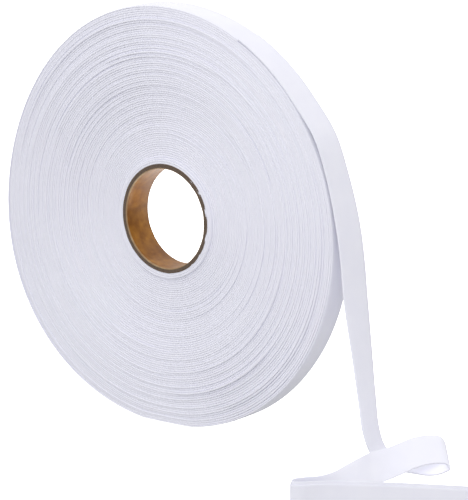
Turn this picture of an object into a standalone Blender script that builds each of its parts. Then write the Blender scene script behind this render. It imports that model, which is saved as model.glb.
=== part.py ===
"""Roll of half-inch double-fold bias tape on a cardboard core, with its loose end on the surface.

Metres, +Z up. The origin is the middle of the small flat spot that the roll stands on.
X runs along the roll's face and Y along its axis, with the front face towards -Y.
"""
import math
from collections import namedtuple

import bpy
import bmesh
from mathutils import Vector

MM = 0.001

FacePoint = namedtuple("FacePoint", "radius proud")
Lobe = namedtuple("Lobe", "count height crest")
Row = namedtuple("Row", "x y z rise bearing")

# Driving dimensions in millimetres
ROLL_RADIUS = 85.2
TAPE_WIDTH = 12.3
CORE_INNER_RADIUS = 20.0
CORE_WALL = 2.0
CORE_WIDTH = 13.4
CORE_SHIFT = (1.1, 0.25)
SHEET_THICKNESS = 1.0
PIECE_GAP = 0.3
FLAT_SPOT_DEPTH = 0.25

# How finely the round and curved shapes are divided
ROLL_SEGMENTS = 120
CORE_SEGMENTS = 72
STEPS_PER_ROW = 4
SHARP_ANGLE = 35.0

# The wound tape is not quite round: how many lobes, their height in mm and the angle of a crest.
# The single lobe sets the outline a little off the core's axis.
LOBES = (Lobe(1, 0.61, -57.0), Lobe(2, 0.16, -13.0), Lobe(3, 0.82, -25.0), Lobe(4, 0.32, 32.0))

# The outer turns lean, so the rim's rear edge stands out or in by lobes of its own
REAR_LOBES = (Lobe(1, 0.57, 96.0), Lobe(2, 0.37, 68.0), Lobe(3, 0.33, 36.0))

# The last turn is a piece of its own from this angle on, clockwise, and leaves the roll after
# the second one, where its rear edge has already lifted a little. Angles are degrees up from +X,
# seen from the front, and the first one is a whole number of the roll's segments. The step in
# the spiral that makes room for the last turn evens out faster than a plain spiral's would.
LAST_TURN_START = 63.0
LAST_TURN_LEAVES = 36.0
LAP_STEPS = 8
LAP_END_CLEARANCE = 0.4
LAP_LIFT = 0.8
LAP_FADE = 1.75

# How far the front face stands proud of the tape's nominal edge, by radius and in mm: the first
# turns stand out, the rest dips, crowns and falls back to the rim. The back follows it, because
# the tape keeps its width.
FACE_PROFILE = (
    FacePoint(CORE_INNER_RADIUS + CORE_WALL + PIECE_GAP, 0.40),
    FacePoint(23.8, 0.40),
    FacePoint(24.4, -0.10),
    FacePoint(42.0, -0.25),
    FacePoint(48.0, -0.05),
    FacePoint(55.0, 0.25),
    FacePoint(62.0, 0.35),
    FacePoint(79.0, 0.15),
    FacePoint(ROLL_RADIUS, 0.0),
)

# The loose end, row by row from where it leaves the roll. x, y and z are the lowest place of
# the tape's front edge in mm; rise is how steeply the tape's width climbs from there and
# bearing is the way it points in plan, in degrees from +X.
LOOSE_END_ROUTE = (
    Row(75.6, -6.15, 124.5, 3, 84),
    Row(81.7, -6.15, 109.5, 1, 82),
    Row(86.0, -6.15, 93.0, 0, 77.5),
    Row(88.6, -6.15, 78.5, 0, 77.5),
    Row(90.5, -6.15, 62.0, 0, 78),
    Row(94.6, -6.15, 41.5, 0, 87.5),
    Row(97.8, -6.15, 24.5, 0, 93.5),
    Row(100.2, -6.1, 12.0, 0, 96),
    Row(103.6, -5.8, 5.0, 0, 98),
    Row(109.0, -5.0, 1.0, 1, 97),
    Row(116.0, -4.2, 0.0, 6, 97),
    Row(123.0, -3.8, 0.0, 12, 99),
    Row(129.6, -3.2, 0.3, 18, 108),
    Row(134.6, -2.0, 1.8, 27, 124),
    Row(137.2, -0.9, 3.7, 37, 137),
    Row(135.9, -1.6, 5.5, 43, 140),
    Row(131.8, -5.0, 5.7, 46, 139),
    Row(127.3, -9.4, 4.2, 53, 137),
    Row(123.4, -14.2, 1.7, 61, 136),
    Row(120.7, -19.6, 0.2, 65, 136),
    Row(119.2, -26.3, 0.0, 69, 136),
    Row(120.8, -36.8, 0.0, 73, 136),
    Row(122.8, -47.8, 0.0, 78, 136),
    Row(124.1, -56.1, 0.0, 83, 136),
    Row(122.8, -62.8, 0.0, 88, 136),
    Row(119.2, -67.3, 0.0, 90, 136),
    Row(117.6, -71.5, 0.0, 90, 136),
    Row(119.3, -74.8, 0.0, 90, 136),
    Row(122.5, -73.2, 0.0, 90, 136),
    Row(126.5, -68.4, 0.0, 90, 136),
    Row(132.3, -63.4, 0.0, 90, 136),
    Row(141.1, -58.0, 0.0, 90, 136),
    Row(150.5, -51.9, 0.0, 90, 136),
    Row(160.5, -46.3, 0.0, 90, 136),
    Row(172.0, -40.2, 0.0, 90, 136),
    Row(197.9, -26.8, 0.0, 90, 136),
)


def clear_scene():
    for item in list(bpy.data.objects):
        bpy.data.objects.remove(item, do_unlink=True)


def finish(name, colour, roughness):
    """A plain surface: base colour and roughness."""
    material = bpy.data.materials.new(name)
    material.use_nodes = True
    shader = material.node_tree.nodes["Principled BSDF"]
    shader.inputs["Base Color"].default_value = (*colour, 1.0)
    shader.inputs["Roughness"].default_value = roughness
    shader.inputs["Metallic"].default_value = 0.0
    return material


def lobes(table, angle):
    """How far the wound tape bulges at an angle, in mm."""
    total = 0.0
    for lobe in table:
        total += lobe.height * math.cos(lobe.count * math.radians(angle - lobe.crest))
    return total


def wound_radius(angle):
    """The wound tape's outline as a spiral: one turn lower just after the last turn starts."""
    turned = ((LAST_TURN_START - angle) % 360.0) / 360.0
    last_turn = SHEET_THICKNESS + PIECE_GAP
    return ROLL_RADIUS + lobes(LOBES, angle) - last_turn * (1.0 - turned) ** LAP_FADE


def lap_radius(angle):
    """The middle of the last turn's thickness while it still lies on the roll."""
    return wound_radius(angle) + PIECE_GAP + SHEET_THICKNESS / 2


def axis_height():
    """Height of the roll's axis, so that the flat spot is as deep as stated."""
    lowest = 0.0
    for step in range(ROLL_SEGMENTS):
        angle = step * 360.0 / ROLL_SEGMENTS
        lowest = min(lowest, wound_radius(angle) * math.sin(math.radians(angle)))
    return -lowest - FLAT_SPOT_DEPTH


AXIS_HEIGHT = axis_height()


def on_ring(radius, angle, y):
    """A point round the roll's axis, kept above the surface, in metres.

    The core sits a little off the middle of the rim, and the turns between ease from one to
    the other.
    """
    outer = CORE_INNER_RADIUS + CORE_WALL
    off_middle = min(max((ROLL_RADIUS - radius) / (ROLL_RADIUS - outer), 0.0), 1.0)
    turn = math.radians(angle)
    x = CORE_SHIFT[0] * off_middle + radius * math.cos(turn)
    z = AXIS_HEIGHT + CORE_SHIFT[1] * off_middle + radius * math.sin(turn)
    return Vector((x, y, max(z, 0.0))) * MM


def body(name, bm, material):
    """Turns a bmesh into a smooth-shaded object with crisp edges."""
    bmesh.ops.recalc_face_normals(bm, faces=bm.faces)
    mesh = bpy.data.meshes.new(name)
    bm.to_mesh(mesh)
    bm.free()
    mesh.materials.append(material)
    mesh.shade_smooth()
    mesh.set_sharp_from_angle(angle=math.radians(SHARP_ANGLE))
    item = bpy.data.objects.new(name, mesh)
    bpy.context.scene.collection.objects.link(item)
    return item


def skin_loops(bm, loops):
    """Joins closed loops of points in order, and the last loop to the first."""
    rings = [[bm.verts.new(point) for point in loop] for loop in loops]
    for ring, following in zip(rings, rings[1:] + rings[:1]):
        for index, corner in enumerate(ring):
            after = (index + 1) % len(ring)
            bm.faces.new((corner, ring[after], following[after], following[index]))


def core(material):
    """The cardboard ring that the tape is wound on."""
    outer = CORE_INNER_RADIUS + CORE_WALL
    half = CORE_WIDTH / 2
    corners = ((CORE_INNER_RADIUS, -half), (outer, -half), (outer, half), (CORE_INNER_RADIUS, half))
    bm = bmesh.new()
    loops = []
    for step in range(CORE_SEGMENTS):
        angle = step * 360.0 / CORE_SEGMENTS
        loops.append([on_ring(radius, angle, y) for radius, y in corners])
    skin_loops(bm, loops)
    return body("core", bm, material)


def wound_tape(material):
    """All turns but the loose end as one ring with wavy faces, a spiral outline and a flat spot."""
    inner = FACE_PROFILE[0].radius
    loops = []
    for step in range(ROLL_SEGMENTS):
        angle = step * 360.0 / ROLL_SEGMENTS
        reach = (wound_radius(angle) - inner) / (ROLL_RADIUS - inner)
        front = [(inner + (p.radius - inner) * reach, -TAPE_WIDTH / 2 - p.proud) for p in FACE_PROFILE]
        lean = lobes(REAR_LOBES, angle) / (wound_radius(angle) - inner)
        back = [(radius + (radius - inner) * lean, y + TAPE_WIDTH) for radius, y in reversed(front)]
        loops.append([on_ring(radius, angle, y) for radius, y in front + back])
    bm = bmesh.new()
    skin_loops(bm, loops)
    return body("wound_tape", bm, material)


def smooth_rows(rows, steps):
    """Points on one smooth curve through all the rows, every column eased alike."""
    reach = [0.0]
    for before, after in zip(rows, rows[1:]):
        reach.append(reach[-1] + math.sqrt(math.dist(before[:3], after[:3])))
    slopes = []
    for index in range(len(rows)):
        low, high = max(index - 1, 0), min(index + 1, len(rows) - 1)
        if low == index or high == index:
            span = reach[high] - reach[low]
            slopes.append([(b - a) / span for a, b in zip(rows[low], rows[high])])
            continue
        first, second = reach[index] - reach[low], reach[high] - reach[index]
        slope = []
        for a, b, c in zip(rows[low], rows[index], rows[high]):
            slope.append(((b - a) / first * second + (c - b) / second * first) / (first + second))
        slopes.append(slope)
    points = []
    for index in range(len(rows) - 1):
        span = reach[index + 1] - reach[index]
        for step in range(steps):
            t = step / steps
            start, start_slope = 2 * t**3 - 3 * t**2 + 1, (t**3 - 2 * t**2 + t) * span
            end, end_slope = 3 * t**2 - 2 * t**3, (t**3 - t**2) * span
            columns = zip(rows[index], slopes[index], rows[index + 1], slopes[index + 1])
            points.append(Row(*(start * a + start_slope * m + end * b + end_slope * n
                                for a, m, b, n in columns)))
    points.append(rows[-1])
    return points


def loose_end_rows():
    """The last turn round the roll, leaning as the rim does, then the rows of the table."""
    rows = []
    start = LAST_TURN_START - LAP_END_CLEARANCE
    for step in range(LAP_STEPS):
        share = step / LAP_STEPS
        angle = start + (LAST_TURN_LEAVES - start) * share
        radius, turn = lap_radius(angle), math.radians(angle)
        height = AXIS_HEIGHT + radius * math.sin(turn)
        lean = math.atan2(lobes(REAR_LOBES, angle) + LAP_LIFT * share**2, TAPE_WIDTH)
        rise = math.degrees(math.asin(math.sin(lean) * math.sin(turn)))
        bearing = math.degrees(math.atan2(math.cos(lean), math.sin(lean) * math.cos(turn)))
        rows.append(Row(radius * math.cos(turn), -TAPE_WIDTH / 2, height, rise, bearing))
    return rows + list(LOOSE_END_ROUTE)


def loose_end(material):
    """The sheet that lies on the roll, hangs, and runs along the surface on its edge."""
    places = smooth_rows(loose_end_rows(), STEPS_PER_ROW)
    feet = [Vector(place[:3]) for place in places]
    loops = []
    for index, (foot, place) in enumerate(zip(feet, places)):
        rise, bearing = math.radians(place.rise), math.radians(place.bearing)
        across = Vector((
            math.cos(rise) * math.cos(bearing),
            math.cos(rise) * math.sin(bearing),
            math.sin(rise),
        ))
        along = feet[min(index + 1, len(feet) - 1)] - feet[max(index - 1, 0)]
        normal = along.cross(across).normalized() * (SHEET_THICKNESS / 2)
        base = foot + Vector((0.0, 0.0, abs(normal.z)))
        section = (base - normal, base + normal)
        section += (section[1] + across * TAPE_WIDTH, section[0] + across * TAPE_WIDTH)
        loops.append([Vector((p.x, p.y, max(p.z, 0.0))) * MM for p in section])
    bm = bmesh.new()
    rings = [[bm.verts.new(point) for point in loop] for loop in loops]
    for ring, following in zip(rings, rings[1:]):
        for corner in range(4):
            after = (corner + 1) % 4
            bm.faces.new((ring[corner], ring[after], following[after], following[corner]))
    bm.faces.new(rings[0])
    bm.faces.new(rings[-1])
    return body("loose_end", bm, material)


def build():
    clear_scene()
    cotton = finish("white_cotton_tape", (0.82, 0.82, 0.87), 0.85)
    kraft = finish("kraft_cardboard", (0.42, 0.25, 0.12), 0.9)
    core(kraft)
    wound_tape(cotton)
    loose_end(cotton)


build()
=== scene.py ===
"""Looks of a roll of half-inch double-fold bias tape, white cotton on a kraft cardboard core.

Lengths in the tables are millimetres and angles are degrees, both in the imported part's frame:
X runs along the roll's face, Y along its axis with the front face towards -Y, and Z is up.
"""
import math
import random
from collections import namedtuple

import bpy
import numpy as np
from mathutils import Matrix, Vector


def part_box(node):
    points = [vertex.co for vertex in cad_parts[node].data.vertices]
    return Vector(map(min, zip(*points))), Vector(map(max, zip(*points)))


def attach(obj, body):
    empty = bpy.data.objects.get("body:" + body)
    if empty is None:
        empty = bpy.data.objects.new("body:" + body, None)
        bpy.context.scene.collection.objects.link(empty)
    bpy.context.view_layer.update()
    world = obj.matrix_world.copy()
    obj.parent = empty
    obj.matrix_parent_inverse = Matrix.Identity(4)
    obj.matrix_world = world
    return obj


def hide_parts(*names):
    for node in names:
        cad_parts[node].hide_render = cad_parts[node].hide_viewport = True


MM = 0.001

# How far apart a wave texture's bands lie at a scale of 1
WAVE_BAND = math.pi / 10

Row = namedtuple("Row", "x y z rise bearing")
Lobe = namedtuple("Lobe", "count height crest")
FacePoint = namedtuple("FacePoint", "radius proud")
FoldPoint = namedtuple("FoldPoint", "across out")
Arc = namedtuple("Arc", "radius angle sweep proud turns")
Stretch = namedtuple("Stretch", "name first last")
Softbox = namedtuple("Softbox", "name azimuth elevation distance size power aim")

# The camera: where it stands round the roll, how far off, the place that it looks at, measured
# from the roll's axis, its lens and sensor, and its nearest and farthest view in metres
CAMERA_AZIMUTH = 39.23
CAMERA_ELEVATION = 11.85
CAMERA_DISTANCE = 1316.0
CAMERA_TARGET = (31.22, 0.0, -9.46)
CAMERA_LENS = 240.97
CAMERA_SENSOR = 36.0
CAMERA_CLIP = (0.05, 20.0)

# The roll: the tape's width and thickness as folded, its turns, the angles where the last turn
# starts and where the loose end leaves it, and the hairline between one stretch and the next
ROLL_RADIUS = 85.2
TAPE_WIDTH = 12.3
TAPE_THICKNESS = 0.84
TURNS = 74
STEPS_PER_TURN = 216
LAST_TURN_START = 63.0
LAST_TURN_LEAVES = 36.0
LAP_STEPS = 8
JOIN_GAP = 0.02
STRETCHES = (
    Stretch("tape_turns_inner", 0, 26),
    Stretch("tape_turns_middle", 26, 51),
    Stretch("tape_turns_outer", 51, TURNS - 1),
    Stretch("tape_turns_last", TURNS - 1, TURNS),
)

# The outline is not quite round: how many lobes, their height and the angle of a crest. They
# grow towards the rim with this power of the radius.
LOBES = (Lobe(1, 0.61, -57.0), Lobe(2, 0.16, -13.0), Lobe(3, 0.82, -25.0), Lobe(4, 0.32, 32.0))
LOBE_GROWTH = 5.0

# The outer turns lean, so the rim's rear edge stands out or in by lobes of its own, and it has
# lifted by this much more where the loose end leaves the roll
REAR_LOBES = (Lobe(1, 0.57, 96.0), Lobe(2, 0.37, 68.0), Lobe(3, 0.33, 36.0))
LAP_LIFT = 0.8

# The core sits this much to the right of the middle of the rim and above it
CORE_SHIFT = (1.1, 0.0, 0.25)
CORE_WALL = 2.0

# The inner turns are slightly oval, and this fades out towards the rim
OVAL = Lobe(2, 0.45, 50.0)

# The roll's weight presses only its outer turns flat, to this depth of the winding, and only
# where the sine of the angle is this far below nought
PRESSED_DEPTH = 9.0
PRESSED_SINE = 0.5

# Over this last part of a turn the tape falls back to its nominal edge
END_SETTLES = 0.25

# How far the front face stands proud of the tape's nominal edge, by radius: the first turns
# stand out, the rest dips, crowns and falls back to the rim. The back follows it, because the
# tape keeps its width.
FACE_PROFILE = (
    FacePoint(22.3, 0.55),
    FacePoint(23.8, 0.55),
    FacePoint(24.4, -0.65),
    FacePoint(32.0, -1.00),
    FacePoint(42.0, -1.10),
    FacePoint(48.0, -0.35),
    FacePoint(55.0, 0.90),
    FacePoint(62.0, 1.40),
    FacePoint(72.0, 1.05),
    FacePoint(79.0, 0.50),
    FacePoint(ROLL_RADIUS, 0.0),
)

# Single turns that sink or stand proud for part of the way round, as the winder left them:
# radius and angle of the middle, how many degrees it spans, how far, and over how many turns.
# Each one eases off over a share of its sweep, and spreads a little to the turns beside it.
ARCS = (
    Arc(53.3, 140, 60, -0.60, 1.0),
    Arc(47.3, -176, 66, -0.33, 1.0),
    Arc(58.4, 35, 36, -0.36, 1.0),
    Arc(58.1, -8, 30, -0.36, 1.2),
    Arc(59.0, -45, 50, -0.25, 0.8),
    Arc(62.6, -48, 100, -0.33, 1.2),
    Arc(61.8, -52, 90, 0.60, 1.0),
    Arc(81.8, 111, 40, -0.10, 1.0),
    Arc(78.6, 150, 60, -0.14, 1.6),
    Arc(74.0, 150, 60, -0.12, 1.6),
    Arc(80.1, -5, 60, -0.29, 1.2),
    Arc(78.4, -30, 90, 0.60, 1.2),
    Arc(76.1, -38, 66, -0.33, 1.0),
    Arc(71.3, -58, 40, -0.29, 0.8),
    Arc(70.6, -62, 50, 0.60, 0.8),
    Arc(51.8, -32, 80, -0.22, 1.0),
    Arc(37.2, -55, 110, -0.25, 1.4),
    Arc(41.8, 170, 60, -0.22, 1.0),
    Arc(79.6, 110, 130, 0.52, 1.2),
    Arc(72.2, 142, 50, 0.52, 1.2),
    Arc(66.6, 90, 60, 0.70, 0.9),
    Arc(67.7, 100, 50, -0.30, 0.9),
    Arc(68.0, 62, 36, 0.44, 1.0),
    Arc(63.0, 132, 50, 0.44, 1.2),
    Arc(50.5, 5, 100, 0.44, 1.0),
    Arc(47.8, -58, 120, 0.52, 0.9),
    Arc(53.6, -108, 30, 0.52, 1.2),
    Arc(36.4, 158, 48, 0.38, 1.0),
    Arc(40.2, -32, 80, 0.38, 1.0),
    Arc(83.3, 0, 90, 0.38, 1.0),
)
ARC_EASE = 0.3
ARC_SPREAD = 1.5

# Small unevenness of every turn: how far it wanders sideways and how many degrees a drift takes.
# The turns next to the core are calm, and this ends at the second of two radii.
DRIFT = 0.12
DRIFT_SPAN = 55.0
FLUTTER = 0.022
FLUTTER_SPAN = 9.0
CALM_RADII = (23.0, 40.0)

# Towards the rim the turns stand in and out in soft bands: how wide a band and its hollow are
# together, how high it stands at the rim, the radius where the bands begin and how they grow
BAND_WIDTH = 2.8
BAND_HEIGHT = 0.18
BANDS_BEGIN = 52.0
BAND_GROWTH = 0.5

# Everything uneven is drawn from this seed and the two after it
SEED = 12

# The loose end, row by row from where it leaves the roll. x, y and z are the lowest place of
# the tape's front edge; rise is how steeply the tape's width climbs from there and bearing is
# the way it points in plan, in degrees from +X.
LOOSE_END_ROUTE = (
    Row(75.6, -6.15, 124.5, 3, 84),
    Row(81.7, -6.15, 109.5, 1, 82),
    Row(86.0, -6.15, 93.0, 0, 77.5),
    Row(88.6, -6.15, 78.5, 0, 77.5),
    Row(90.5, -6.15, 62.0, 0, 78),
    Row(94.6, -6.15, 41.5, 0, 87.5),
    Row(97.8, -6.15, 24.5, 0, 93.5),
    Row(100.2, -6.1, 12.0, 0, 96),
    Row(103.6, -5.8, 5.0, 0, 98),
    Row(109.0, -5.0, 1.0, 1, 97),
    Row(116.0, -4.2, 0.0, 6, 97),
    Row(123.0, -3.8, 0.0, 12, 99),
    Row(129.6, -3.2, 0.3, 18, 108),
    Row(134.6, -2.0, 1.8, 27, 124),
    Row(137.2, -0.9, 3.7, 37, 137),
    Row(135.9, -1.6, 5.5, 43, 140),
    Row(131.8, -5.0, 5.7, 46, 139),
    Row(127.3, -9.4, 4.2, 53, 137),
    Row(123.4, -14.2, 1.7, 61, 136),
    Row(120.7, -19.6, 0.2, 65, 136),
    Row(119.2, -26.3, 0.0, 69, 136),
    Row(120.8, -36.8, 0.0, 73, 136),
    Row(122.8, -47.8, 0.0, 78, 136),
    Row(124.1, -56.1, 0.0, 83, 136),
    Row(122.8, -62.8, 0.0, 88, 136),
    Row(119.2, -67.3, 0.0, 90, 136),
    Row(117.6, -71.5, 0.0, 90, 136),
    Row(119.3, -74.8, 0.0, 90, 136),
    Row(122.5, -73.2, 0.0, 90, 136),
    Row(126.5, -68.4, 0.0, 90, 136),
    Row(132.3, -63.4, 0.0, 90, 136),
    Row(141.1, -58.0, 0.0, 90, 136),
    Row(150.5, -51.9, 0.0, 90, 136),
    Row(160.5, -46.3, 0.0, 90, 136),
    Row(172.0, -40.2, 0.0, 90, 136),
    Row(197.9, -26.8, 0.0, 90, 136),
)
STEPS_PER_ROW = 10

# Section of the tape on the roll: folded spine in front, two folded lips behind
TURN_SECTION = (
    FoldPoint(0.25, -0.42),
    FoldPoint(0.06, -0.27),
    FoldPoint(0.00, 0.00),
    FoldPoint(0.06, 0.27),
    FoldPoint(0.25, 0.42),
    FoldPoint(11.95, 0.42),
    FoldPoint(12.10, 0.20),
    FoldPoint(11.90, 0.02),
    FoldPoint(12.28, -0.20),
    FoldPoint(12.10, -0.42),
)

# The flanks and lips of the folded tape, as the last turn and the loose end have them: the outer
# half is narrower, so the inner lip peeps out
LIPS = (
    FoldPoint(4.20, 0.41),
    FoldPoint(6.20, 0.43),
    FoldPoint(8.20, 0.42),
    FoldPoint(10.10, 0.41),
    FoldPoint(10.85, 0.42),
    FoldPoint(11.08, 0.34),
    FoldPoint(11.15, 0.22),
    FoldPoint(11.08, 0.08),
    FoldPoint(10.50, 0.02),
    FoldPoint(11.90, -0.02),
    FoldPoint(12.20, -0.08),
    FoldPoint(12.30, -0.21),
    FoldPoint(12.20, -0.35),
    FoldPoint(11.95, -0.42),
    FoldPoint(10.00, -0.41),
    FoldPoint(7.90, -0.43),
)

# Section of the last turn, finer: nothing lies on it, so the spine is full and rounds off
# slowly on its outer side
RIM_SECTION = (
    FoldPoint(0.25, -0.42),
    FoldPoint(0.06, -0.32),
    FoldPoint(0.00, -0.12),
    FoldPoint(0.06, 0.04),
    FoldPoint(0.22, 0.16),
    FoldPoint(0.50, 0.26),
    FoldPoint(0.95, 0.34),
    FoldPoint(1.60, 0.40),
    FoldPoint(2.40, 0.42),
    *LIPS,
    FoldPoint(3.80, -0.41),
)

# Section of the loose end, finer, with a spine that rounds off alike on both sides
LOOSE_SECTION = (
    FoldPoint(0.34, -0.42),
    FoldPoint(0.14, -0.36),
    FoldPoint(0.03, -0.20),
    FoldPoint(0.00, 0.00),
    FoldPoint(0.03, 0.20),
    FoldPoint(0.14, 0.36),
    FoldPoint(0.34, 0.42),
    FoldPoint(2.20, 0.42),
    *LIPS,
    FoldPoint(5.80, -0.42),
    FoldPoint(3.80, -0.41),
    FoldPoint(1.90, -0.42),
)

# The cardboard tube: the wear and bevels of its sawn ends, the fine grooves between its plies,
# how far the sawn rim wanders and over how many degrees, and how much further forward the saw
# left both ends
BOARD_PLIES = 4
CORE_SEGMENTS = 288
FRONT_WEAR_DEPTH = 0.45
FRONT_WEAR_CORNER = 0.12
FRONT_WEAR_WIDTH = 0.40
OUTER_BEVEL = (0.12, 0.15)
REAR_BEVEL = (0.15, 0.25)
PLY_GROOVE_HALF = 0.06
PLY_GROOVE_DEPTH = 0.10
SAWN_ZONE = 0.3
SAWN_WANDER = 0.05
SAWN_SPAN = 5.0
SAWN_FORWARD = 0.05

# What each face of the tube is made of, as places in its list of materials
LINER = 0
CUT_EDGE = 1
WORN_EDGE = 2

# Real measures of the materials: threads and fibres in mm, patterns by how many lie in a mm, the
# height of each relief in mm, and the part of the fibres' pattern that runs from dark to light
# kraft. Lawn's threads are finer than 0.42 mm, which is as fine as still shows.
THREAD_SPACING = 0.42
SLUBS_PER_MM = 0.9
MOTTLES_PER_MM = 0.11
WEAVE_RELIEF = 0.05
FIBRE_LENGTH = 3.0
CLOUDS_PER_MM = 0.06
KRAFT_RELIEF = 0.06
KRAFT_SPREAD = (0.12, 0.42)
BOARD_FIBRES_PER_MM = 1.4
BOARD_RELIEF = 0.15

# Colours, dark and light of each finish
COTTON = "#ECECF4"
COTTON_SHADE = "#E4E4F0"
KRAFT_LIGHT = "#A57028"
KRAFT_DARK = "#754716"
WORN_LIGHT = "#B39A78"
WORN_DARK = "#8A6B4A"
GREYBOARD = "#45382F"
GREYBOARD_PALE = "#6E5D4E"
FLOOR_WHITE = "#FFFFFF"

# How bright the room is straight below, at the horizon and straight above, the share of it that
# is left straight to the right, and how far to the right the fall begins, from 0 to 1
ROOM_BELOW = 0.1
ROOM_LEVEL = 0.98
ROOM_ABOVE = 0.86
ROOM_RIGHT = 0.86
ROOM_RIGHT_FROM = 0.4

# How far the floor reaches each way, and the sharpest crease of a mesh that is shaded smooth
FLOOR_REACH = 4000.0
SHARP_ANGLE = 60.0

# Softboxes: the way each one lies from what it is aimed at, how far off, how wide and how strong.
# The glows stand for the light that the pale surface sends into the core and the loose end.
ROLL_MIDDLE = (20.0, 0.0, 80.0)
CORE_TOP = (-3.0, 0.0, 100.5)
LOOP_MIDDLE = (124.0, -58.0, 8.0)
NEAR_PIECE = (122.0, -28.0, 6.0)
BEND_MIDDLE = (130.5, -3.0, 1.0)
SOFTBOXES = (
    Softbox("camera_side_softbox", 39, 12, 700, 450, 0.70, ROLL_MIDDLE),
    Softbox("front_top_softbox", 0, 50, 700, 450, 0.60, ROLL_MIDDLE),
    Softbox("rear_left_softbox", -140, 50, 700, 450, 0.78, ROLL_MIDDLE),
    Softbox("rear_right_softbox", 165, 45, 700, 450, 0.50, ROLL_MIDDLE),
    Softbox("glow_in_the_core", -90, -72, 20, 8, 0.0017, CORE_TOP),
    Softbox("glow_of_the_surface", 0, -87, 125, 130, 0.029, LOOP_MIDDLE),
    Softbox("glow_between_the_legs", 72, 4.7, 32, 16, 0.0026, NEAR_PIECE),
    Softbox("glow_in_the_bend", 0, 89, 4, 9, 0.00012, BEND_MIDDLE),
)


def linear(colour):
    """An sRGB hex colour as linear red, green, blue and alpha."""
    channels = [int(colour[place:place + 2], 16) / 255 for place in (1, 3, 5)]
    return (*[c / 12.92 if c <= 0.04045 else ((c + 0.055) / 1.055) ** 2.4 for c in channels], 1.0)


def node(tree, kind, settings=None, **inputs):
    """Adds a node, sets its properties, and sets or links its inputs by name, or as _0, _1 by place."""
    made = tree.nodes.new(kind)
    for name, value in (settings or {}).items():
        setattr(made, name, value)
    for name, value in inputs.items():
        socket = made.inputs[int(name[1:])] if name[1:].isdigit() else made.inputs[name.replace("_", " ")]
        if isinstance(value, bpy.types.NodeSocket):
            tree.links.new(value, socket)
        else:
            socket.default_value = value
    return made


def blank_material(name):
    """A material with only a Principled shader and its output."""
    material = bpy.data.materials.new(name)
    material.use_nodes = True
    tree = material.node_tree
    return material, tree, tree.nodes["Principled BSDF"]


def set_inputs(shader, **values):
    """Sets a shader's inputs by name."""
    for name, value in values.items():
        shader.inputs[name.replace("_", " ")].default_value = value


def way_out(azimuth, elevation):
    """The way from an aim out to its camera or lamp: 0 degrees is in front, 90 to the right."""
    azimuth, elevation = math.radians(azimuth), math.radians(elevation)
    return Vector((
        math.sin(azimuth) * math.cos(elevation),
        -math.cos(azimuth) * math.cos(elevation),
        math.sin(elevation),
    ))


def stand(item, aim, back, distance):
    """Stands a camera or lamp at a distance from its aim, facing it."""
    item.location = (Vector(aim) + back * distance) * MM
    item.rotation_euler = (-back).to_track_quat("-Z", "Y").to_euler()
    bpy.context.scene.collection.objects.link(item)


def camera(axis_height):
    """The camera stands at the photograph's angle, far off with a long lens."""
    data = bpy.data.cameras.new("camera")
    data.sensor_width = CAMERA_SENSOR
    data.lens = CAMERA_LENS
    data.clip_start, data.clip_end = CAMERA_CLIP
    item = bpy.data.objects.new("camera", data)
    aim = Vector(CAMERA_TARGET) + Vector((0.0, 0.0, axis_height))
    stand(item, aim, way_out(CAMERA_AZIMUTH, CAMERA_ELEVATION), CAMERA_DISTANCE)
    bpy.context.scene.camera = item


def white_cotton_bias_tape():
    """White cotton lawn cut on the bias, folded and pressed: matt, finely woven, faintly lavender."""
    material, tree, shader = blank_material("white_cotton_bias_tape")
    place = node(tree, "ShaderNodeAttribute", {"attribute_name": "tape_run"}).outputs["Vector"]
    turned = node(tree, "ShaderNodeMapping", Vector=place, Rotation=(0, 0, math.radians(45))).outputs[0]
    bands = WAVE_BAND / (THREAD_SPACING * MM)
    warp = node(tree, "ShaderNodeTexWave", {"bands_direction": "X"}, Vector=turned, Scale=bands)
    weft = node(tree, "ShaderNodeTexWave", {"bands_direction": "Y"}, Vector=turned, Scale=bands)
    weave = node(tree, "ShaderNodeMath", {"operation": "MULTIPLY"}, _0=warp.outputs["Fac"],
                 _1=weft.outputs["Fac"])
    slub = node(tree, "ShaderNodeTexNoise", Vector=place, Scale=SLUBS_PER_MM / MM, Detail=3.0)
    height = node(tree, "ShaderNodeMath", {"operation": "ADD"}, _0=weave.outputs[0],
                  _1=slub.outputs["Fac"])
    relief = node(tree, "ShaderNodeBump", Height=height.outputs[0], Distance=WEAVE_RELIEF * MM,
                  Strength=0.35)
    mottle = node(tree, "ShaderNodeTexNoise", Vector=place, Scale=MOTTLES_PER_MM / MM, Detail=2.0)
    tone = node(tree, "ShaderNodeMix", {"data_type": "RGBA"}, _0=mottle.outputs["Fac"],
                _6=linear(COTTON_SHADE), _7=linear(COTTON))
    tree.links.new(tone.outputs[2], shader.inputs["Base Color"])
    tree.links.new(relief.outputs[0], shader.inputs["Normal"])
    set_inputs(shader, Roughness=0.92, Sheen_Weight=0.15, Sheen_Roughness=0.5, IOR=1.5)
    set_inputs(shader, Specular_IOR_Level=0.2)
    return material


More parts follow.
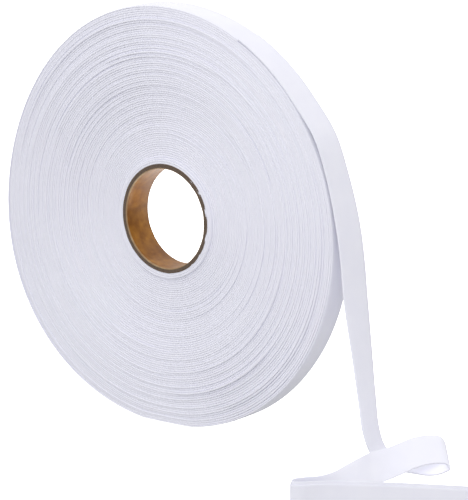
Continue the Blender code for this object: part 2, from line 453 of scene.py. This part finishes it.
def kraft_liner(name, dark, light):
    """Kraft paper wound round the inside and outside of the tube: tan, slightly calendered."""
    material, tree, shader = blank_material(name)
    place = node(tree, "ShaderNodeTexCoord").outputs["Object"]
    fibre = node(tree, "ShaderNodeTexNoise", Vector=place, Scale=1 / (FIBRE_LENGTH * MM), Detail=5.0)
    cloud = node(tree, "ShaderNodeTexNoise", Vector=place, Scale=CLOUDS_PER_MM / MM, Detail=2.0)
    mixed = node(tree, "ShaderNodeMath", {"operation": "MULTIPLY"}, _0=fibre.outputs["Fac"],
                 _1=cloud.outputs["Fac"])
    ramp = node(tree, "ShaderNodeMapRange", _0=mixed.outputs[0], _1=KRAFT_SPREAD[0],
                _2=KRAFT_SPREAD[1])
    tone = node(tree, "ShaderNodeMix", {"data_type": "RGBA"}, _0=ramp.outputs[0],
                _6=linear(dark), _7=linear(light))
    relief = node(tree, "ShaderNodeBump", Height=fibre.outputs["Fac"], Distance=KRAFT_RELIEF * MM,
                  Strength=0.4)
    tree.links.new(tone.outputs[2], shader.inputs["Base Color"])
    tree.links.new(relief.outputs[0], shader.inputs["Normal"])
    set_inputs(shader, Roughness=0.35, IOR=1.5, Specular_IOR_Level=0.12)
    return material


def greyboard_cut_edge():
    """The sawn end of the tube: compressed grey-brown recycled board, dull, with open fibres."""
    material, tree, shader = blank_material("greyboard_cut_edge")
    place = node(tree, "ShaderNodeTexCoord").outputs["Object"]
    fibre = node(tree, "ShaderNodeTexNoise", Vector=place, Scale=BOARD_FIBRES_PER_MM / MM, Detail=4.0)
    tone = node(tree, "ShaderNodeMix", {"data_type": "RGBA"}, _0=fibre.outputs["Fac"],
                _6=linear(GREYBOARD), _7=linear(GREYBOARD_PALE))
    relief = node(tree, "ShaderNodeBump", Height=fibre.outputs["Fac"], Distance=BOARD_RELIEF * MM,
                  Strength=0.6)
    tree.links.new(tone.outputs[2], shader.inputs["Base Color"])
    tree.links.new(relief.outputs[0], shader.inputs["Normal"])
    set_inputs(shader, Roughness=0.95, IOR=1.5)
    return material


def white_board():
    """The pale surface that the roll stands on, lit so evenly that it is almost plain white."""
    material, tree, shader = blank_material("white_matt_board")
    set_inputs(shader, Base_Color=linear(FLOOR_WHITE), Roughness=0.9)
    set_inputs(shader, Emission_Color=linear(FLOOR_WHITE), Emission_Strength=1.0)
    return material


def mesh_piece(name, points, faces, materials, finishes=None):
    """A smooth-shaded mesh object from points in millimetres, with each face's finish if several."""
    mesh = bpy.data.meshes.new(name)
    mesh.from_pydata((np.asarray(points) * MM).tolist(), [], faces)
    for material in materials:
        mesh.materials.append(material)
    if finishes is not None:
        mesh.polygons.foreach_set("material_index", finishes)
    mesh.shade_smooth()
    mesh.set_sharp_from_angle(angle=math.radians(SHARP_ANGLE))
    mesh.validate()
    item = bpy.data.objects.new(name, mesh)
    bpy.context.scene.collection.objects.link(item)
    return item


class Drift:
    """Smooth wandering along the tape, from evenly spaced random values."""

    def __init__(self, seed, size, span, turns):
        """Draws one value of about the size given for each span of degrees."""
        draw = random.Random(seed)
        self.span = span
        self.knots = np.array([draw.gauss(0.0, size) for _ in range(int(turns * 360 / span) + 3)])

    def at(self, turned):
        """How far it has wandered after so many degrees."""
        place = np.asarray(turned) / self.span
        before = place.astype(int)
        part = place - before
        ease = part * part * (3 - 2 * part)
        return self.knots[before] * (1 - ease) + self.knots[before + 1] * ease


def lobes(table, angle):
    """How far an outline bulges at an angle."""
    return sum(lobe.height * np.cos(lobe.count * np.radians(angle - lobe.crest)) for lobe in table)


class Winding:
    """Where the middle of the tape's thickness runs, as a spiral round the core."""

    def __init__(self, core_radius, axis_height):
        """Fits the turns between the core and the rim."""
        self.axis = axis_height
        self.inner = core_radius + JOIN_GAP
        self.pitch = (ROLL_RADIUS - self.inner) / TURNS
        self.drift = Drift(SEED, DRIFT, DRIFT_SPAN, TURNS + 1)
        self.flutter = Drift(SEED + 1, FLUTTER, FLUTTER_SPAN, TURNS + 1)
        self.first_angle = LAST_TURN_START + 360.0 * TURNS

    def radius(self, turned):
        """Even radius of the tape's middle, turned degrees from the end tucked under the liner."""
        return self.inner + self.pitch * (turned / 360.0 - 0.5)

    def bulged(self, turned, angle):
        """The same with the lobes, the oval of the inner turns and the flat spot below."""
        even = self.radius(turned)
        share = (even - self.inner) / (ROLL_RADIUS - self.inner)
        oval = lobes((OVAL,), angle)
        out = even + lobes(LOBES, angle) * share**LOBE_GROWTH + oval * np.sin(math.pi * share)
        rim = ROLL_RADIUS + lobes(LOBES, angle)
        drop = np.sin(np.radians(angle))
        room = np.where(drop < -PRESSED_SINE, self.axis / np.maximum(-drop, PRESSED_SINE), rim)
        pressed = np.clip(1 - (rim - out) / PRESSED_DEPTH, 0, 1)
        return out - np.maximum(rim - room, 0.0) * pressed

    def middle(self, turned):
        """Where each turn is centred: on the core's middle at first, on the rim's at last."""
        share = np.clip((ROLL_RADIUS - self.radius(turned)) / (ROLL_RADIUS - self.inner), 0, 1)
        return np.array((0.0, 0.0, self.axis)) + np.outer(share, CORE_SHIFT)

    def lean(self, turned, angle):
        """How much further out the tape's rear edge lies than its front edge."""
        share = (self.radius(turned) - self.inner) / (ROLL_RADIUS - self.inner)
        return lobes(REAR_LOBES, angle) * share**LOBE_GROWTH

    def proud(self, turned, angle):
        """How far the tape stands out of the front face."""
        even = self.radius(turned)
        out = np.interp(even, [p.radius for p in FACE_PROFILE], [p.proud for p in FACE_PROFILE])
        strength = np.clip((even - BANDS_BEGIN) / (ROLL_RADIUS - BANDS_BEGIN), 0.0, 1.0)**BAND_GROWTH
        out = out + BAND_HEIGHT * strength * np.sin(2 * math.pi * even / BAND_WIDTH)
        calm = np.clip((even - CALM_RADII[0]) / (CALM_RADII[1] - CALM_RADII[0]), 0.0, 1.0)
        out = out + (self.drift.at(turned) + self.flutter.at(turned)) * calm
        for arc in ARCS:
            away = np.abs((angle - arc.angle + 180.0) % 360.0 - 180.0) / (arc.sweep / 2)
            ends_ease = np.clip((1 - away) / ARC_EASE, 0, 1)
            beside = np.clip(ARC_SPREAD - np.abs(even - arc.radius) / (arc.turns * self.pitch / 2), 0, 1)
            out = out + arc.proud * ends_ease * ends_ease * (3 - 2 * ends_ease) * beside
        last = np.clip((turned / 360.0 - (TURNS - END_SETTLES)) / END_SETTLES, 0, 1)
        return out * (1 - last)


def strip(name, feet, across, outward, section, runs, material):
    """A long folded strip: the section carried along its feet, closed at both ends."""
    places = np.array([(p.across, p.out) for p in section])
    points = (
        feet[:, None, :]
        + across[:, None, :] * places[None, :, 0, None]
        + outward[:, None, :] * places[None, :, 1, None]
    )
    points[:, :, 2] = np.maximum(points[:, :, 2], 0.0)
    steps, size = len(feet), len(section)
    corner = np.arange(size)
    after = (corner + 1) % size
    base = (np.arange(steps - 1) * size)[:, None]
    quads = np.stack([base + corner, base + after, base + size + after, base + size + corner], -1)
    faces = quads.reshape(-1, 4).tolist()
    faces.append(corner[::-1].tolist())
    faces.append((corner + (steps - 1) * size).tolist())
    item = mesh_piece(name, points.reshape(-1, 3), faces, [material])
    run = np.zeros((steps, size, 3))
    run[:, :, 0] = runs[:, None]
    run[:, :, 1] = places[None, :, 0]
    run[:, :, 2] = places[None, :, 1]
    layer = item.data.attributes.new("tape_run", "FLOAT_VECTOR", "POINT")
    layer.data.foreach_set("vector", (run * MM).ravel())
    return item


def turns(winding, stretch, section, material):
    """One stretch of the wound tape, as many turns as it says."""
    gap = math.degrees(JOIN_GAP / winding.radius(stretch.last * 360.0))
    turned = np.linspace(
        stretch.first * 360.0,
        stretch.last * 360.0 - gap,
        (stretch.last - stretch.first) * STEPS_PER_TURN + 1,
    )
    angle = winding.first_angle - turned
    radius = winding.bulged(turned, angle)
    out = np.stack([np.cos(np.radians(angle)), np.zeros_like(angle), np.sin(np.radians(angle))], 1)
    feet = out * radius[:, None] + winding.middle(turned)
    feet[:, 1] = -TAPE_WIDTH / 2 - winding.proud(turned, angle)
    across = out * (winding.lean(turned, angle) / TAPE_WIDTH)[:, None] + (0.0, 1.0, 0.0)
    across /= np.linalg.norm(across, axis=1)[:, None]
    # The run only places the weave, so it may be shorter than the tape
    runs = np.radians(turned) * winding.radius(turned) * 0.5
    return strip(stretch.name, feet, across, out, section, runs, material)


def smooth_rows(rows, steps):
    """Points on one smooth curve through all the rows, every column eased alike."""
    reach = [0.0]
    for before, after in zip(rows, rows[1:]):
        reach.append(reach[-1] + math.sqrt(math.dist(before[:3], after[:3])))
    slopes = []
    for index in range(len(rows)):
        low, high = max(index - 1, 0), min(index + 1, len(rows) - 1)
        if low == index or high == index:
            span = reach[high] - reach[low]
            slopes.append([(b - a) / span for a, b in zip(rows[low], rows[high])])
            continue
        first, second = reach[index] - reach[low], reach[high] - reach[index]
        slope = []
        for a, b, c in zip(rows[low], rows[index], rows[high]):
            slope.append(((b - a) / first * second + (c - b) / second * first) / (first + second))
        slopes.append(slope)
    points = []
    for index in range(len(rows) - 1):
        span = reach[index + 1] - reach[index]
        for step in range(steps):
            t = step / steps
            start, start_slope = 2 * t**3 - 3 * t**2 + 1, (t**3 - 2 * t**2 + t) * span
            end, end_slope = 3 * t**2 - 2 * t**3, (t**3 - t**2) * span
            columns = zip(rows[index], slopes[index], rows[index + 1], slopes[index + 1])
            points.append(Row(*(start * a + start_slope * m + end * b + end_slope * n
                                for a, m, b, n in columns)))
    points.append(rows[-1])
    return points


def loose_end(winding, material):
    """The last turn on from where the wound turns stop: it hangs, loops and runs along the surface."""
    rows = []
    for step in range(LAP_STEPS):
        angle = LAST_TURN_START + (LAST_TURN_LEAVES - LAST_TURN_START) * step / LAP_STEPS
        turned = TURNS * 360.0 + LAST_TURN_START - angle
        radius = float(winding.bulged(turned, angle))
        turn = math.radians(angle)
        height = winding.axis + radius * math.sin(turn)
        lean = math.atan2(winding.lean(turned, angle) + LAP_LIFT * (step / LAP_STEPS)**2, TAPE_WIDTH)
        rise = math.degrees(math.asin(math.sin(lean) * math.sin(turn)))
        bearing = math.degrees(math.atan2(math.cos(lean), math.sin(lean) * math.cos(turn)))
        rows.append(Row(radius * math.cos(turn), -TAPE_WIDTH / 2, height, rise, bearing))
    table = np.array(smooth_rows(rows + list(LOOSE_END_ROUTE), STEPS_PER_ROW))
    feet = table[:, :3].copy()
    rise, bearing = np.radians(table[:, 3]), np.radians(table[:, 4])
    across = np.stack([np.cos(rise) * np.cos(bearing), np.cos(rise) * np.sin(bearing), np.sin(rise)], 1)
    along = np.gradient(feet, axis=0)
    outward = np.cross(along, across)
    outward /= np.linalg.norm(outward, axis=1)[:, None]
    feet[:, 2] += np.abs(outward[:, 2]) * TAPE_THICKNESS / 2
    runs = np.concatenate([[0.0], np.cumsum(np.linalg.norm(np.diff(feet, axis=0), axis=1))])
    piece = strip("loose_end_of_tape", feet, across, outward, LOOSE_SECTION, runs, material)
    return piece, runs[-1]


def core_section(inner, outer, half):
    """The tube's section from its inner side round: radius, place along the axis and finish."""
    plies = [inner + (outer - inner) * ply / BOARD_PLIES for ply in range(1, BOARD_PLIES)]
    section = [
        (inner, half - REAR_BEVEL[1], LINER),
        (inner, -half + FRONT_WEAR_DEPTH, WORN_EDGE),
        (inner + FRONT_WEAR_CORNER, -half + FRONT_WEAR_CORNER, WORN_EDGE),
        (inner + FRONT_WEAR_WIDTH, -half, CUT_EDGE),
    ]
    for middle in plies:
        section.append((middle - PLY_GROOVE_HALF, -half, CUT_EDGE))
        section.append((middle, -half + PLY_GROOVE_DEPTH, CUT_EDGE))
        section.append((middle + PLY_GROOVE_HALF, -half, CUT_EDGE))
    section += [
        (outer - OUTER_BEVEL[0], -half, CUT_EDGE),
        (outer, -half + OUTER_BEVEL[1], LINER),
        (outer, half - OUTER_BEVEL[1], CUT_EDGE),
        (outer - OUTER_BEVEL[0], half, CUT_EDGE),
    ]
    for middle in reversed(plies):
        section.append((middle + PLY_GROOVE_HALF, half, CUT_EDGE))
        section.append((middle, half - PLY_GROOVE_DEPTH, CUT_EDGE))
        section.append((middle - PLY_GROOVE_HALF, half, CUT_EDGE))
    section.append((inner + REAR_BEVEL[0], half, CUT_EDGE))
    return section


def core(inner, outer, half, axis, materials):
    """The cardboard tube: liner inside and out, and sawn ends that show its plies."""
    section = core_section(inner, outer, half)
    wander = Drift(SEED + 2, SAWN_WANDER, SAWN_SPAN, 2)
    points, faces, finishes = [], [], []
    for step in range(CORE_SEGMENTS):
        angle = step * 360.0 / CORE_SEGMENTS
        turn = math.radians(angle)
        shift = float(wander.at(min(angle, 360.0 - angle)))
        for radius, y, _ in section:
            if abs(y) > half - SAWN_ZONE:
                y += shift * math.copysign(1, y) - SAWN_FORWARD
            points.append((CORE_SHIFT[0] + radius * math.cos(turn), y,
                           axis + CORE_SHIFT[2] + radius * math.sin(turn)))
    size = len(section)
    for step in range(CORE_SEGMENTS):
        this, following = step * size, (step + 1) % CORE_SEGMENTS * size
        for corner in range(size):
            after = (corner + 1) % size
            faces.append((this + corner, this + after, following + after, following + corner))
            finishes.append(section[corner][2])
    return mesh_piece("cardboard_core", points, faces, materials, finishes)


def floor():
    """A plain pale surface far wider than the view."""
    far = FLOOR_REACH
    corners = [(-far, -far, 0), (far, -far, 0), (far, far, 0), (-far, far, 0)]
    board = mesh_piece("floor", corners, [(0, 1, 2, 3)], [white_board()])
    board.visible_diffuse = False
    board.visible_shadow = False
    return board


def softbox(box):
    """A square area light, out of the camera's sight."""
    data = bpy.data.lights.new(box.name, "AREA")
    data.shape = "SQUARE"
    data.size = box.size * MM
    data.energy = box.power
    item = bpy.data.objects.new(box.name, data)
    item.visible_camera = False
    stand(item, box.aim, way_out(box.azimuth, box.elevation), box.distance)


def light_the_scene():
    """A pale room, brightest at the horizon and dimmer to the right, and softboxes round the roll."""
    world = bpy.data.worlds.new("pale_room")
    world.use_nodes = True
    tree = world.node_tree
    background = tree.nodes["Background"]
    way = node(tree, "ShaderNodeTexCoord").outputs["Generated"]
    axes = node(tree, "ShaderNodeSeparateXYZ", Vector=way).outputs
    up, right = axes["Z"], axes["X"]
    low = node(tree, "ShaderNodeMapRange", _0=up, _1=-1.0, _2=0.0, _3=ROOM_BELOW, _4=ROOM_LEVEL)
    high = node(tree, "ShaderNodeMapRange", _0=up, _1=0.0, _2=1.0, _3=ROOM_LEVEL, _4=ROOM_ABOVE)
    level = node(tree, "ShaderNodeMath", {"operation": "MINIMUM"}, _0=low.outputs[0], _1=high.outputs[0])
    side = node(tree, "ShaderNodeMapRange", _0=right, _1=ROOM_RIGHT_FROM, _2=1.0, _3=1.0,
                _4=ROOM_RIGHT)
    strength = node(tree, "ShaderNodeMath", {"operation": "MULTIPLY"}, _0=level.outputs[0],
                    _1=side.outputs[0])
    background.inputs["Color"].default_value = (1.0, 1.0, 1.0, 1.0)
    tree.links.new(strength.outputs[0], background.inputs["Strength"])
    bpy.context.scene.world = world
    for box in SOFTBOXES:
        softbox(box)
    bpy.context.scene.view_settings.view_transform = "Standard"


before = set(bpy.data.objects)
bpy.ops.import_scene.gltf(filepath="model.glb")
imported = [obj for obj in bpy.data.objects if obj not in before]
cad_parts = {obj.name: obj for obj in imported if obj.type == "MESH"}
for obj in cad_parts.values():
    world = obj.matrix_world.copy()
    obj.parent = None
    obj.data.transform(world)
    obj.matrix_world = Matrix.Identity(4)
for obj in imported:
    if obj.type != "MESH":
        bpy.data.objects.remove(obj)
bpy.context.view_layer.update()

core_low, core_high = (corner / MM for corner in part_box("core"))
core_outer = (core_high.x - core_low.x) / 2
core_half = (core_high.y - core_low.y) / 2
axis_height = (core_low.z + core_high.z) / 2 - CORE_SHIFT[2]
camera(axis_height)

cotton = white_cotton_bias_tape()
winding = Winding(core_outer, axis_height)

board = [
    kraft_liner("kraft_liner_paper", KRAFT_DARK, KRAFT_LIGHT),
    greyboard_cut_edge(),
    kraft_liner("worn_kraft_edge", WORN_DARK, WORN_LIGHT),
]
tube = core(core_outer - CORE_WALL, core_outer, core_half, axis_height, board)
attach(tube, "root")
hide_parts("core")

for stretch in STRETCHES:
    section = RIM_SECTION if stretch.last == TURNS else TURN_SECTION
    wound = turns(winding, stretch, section, cotton)
    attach(wound, "root")
    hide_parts("wound_tape")

tail, tail_length = loose_end(winding, cotton)
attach(tail, "root")
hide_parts("loose_end")

floor()
light_the_scene()
